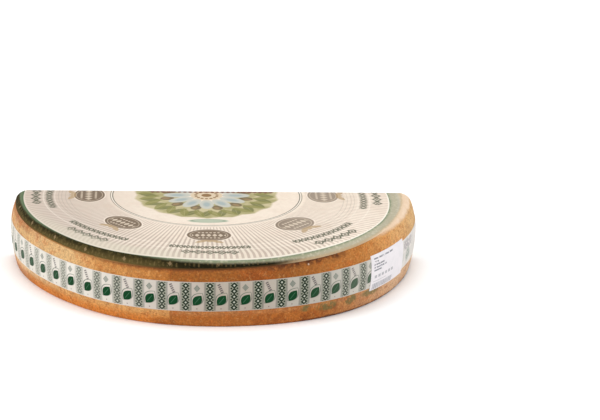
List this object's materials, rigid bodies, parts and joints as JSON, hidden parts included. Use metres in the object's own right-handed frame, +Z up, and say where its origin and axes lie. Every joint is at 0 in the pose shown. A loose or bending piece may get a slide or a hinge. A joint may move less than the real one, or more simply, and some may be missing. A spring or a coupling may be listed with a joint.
{
  "type": "comte cheese",
  "caption": "Half wheel of hard aged mountain cheese lying on its flat underside, with a printed round paper on top, a paper band round the rind and a stuck-on ticket.",
  "frame": {"origin": "middle of the footprint's bounding box, on the surface that the cheese lies on", "axes": "+Z up; the flat cut face looks along +Y and the round rind side along -Y; +X along the cut"},
  "size_m": [0.6444, 0.3194, 0.1088],
  "materials": {
    "cheese": "dry brushed orange-brown rind with a fine grain; smooth, slightly oily golden paste on the cut face",
    "top_paper": "thin matt printed paper, glued down, cream with grey-brown print and a dark green rim",
    "side_band": "thin matt off-white paper strip with dark green and grey print",
    "side_ticket": "satin white self-adhesive paper with thin grey rules"
  },
  "bodies": {
    "root": {"cheese": "cheese", "top_paper": "top_paper", "side_band": "side_band", "side_ticket": "side_ticket"}
  },
  "joints": []
}
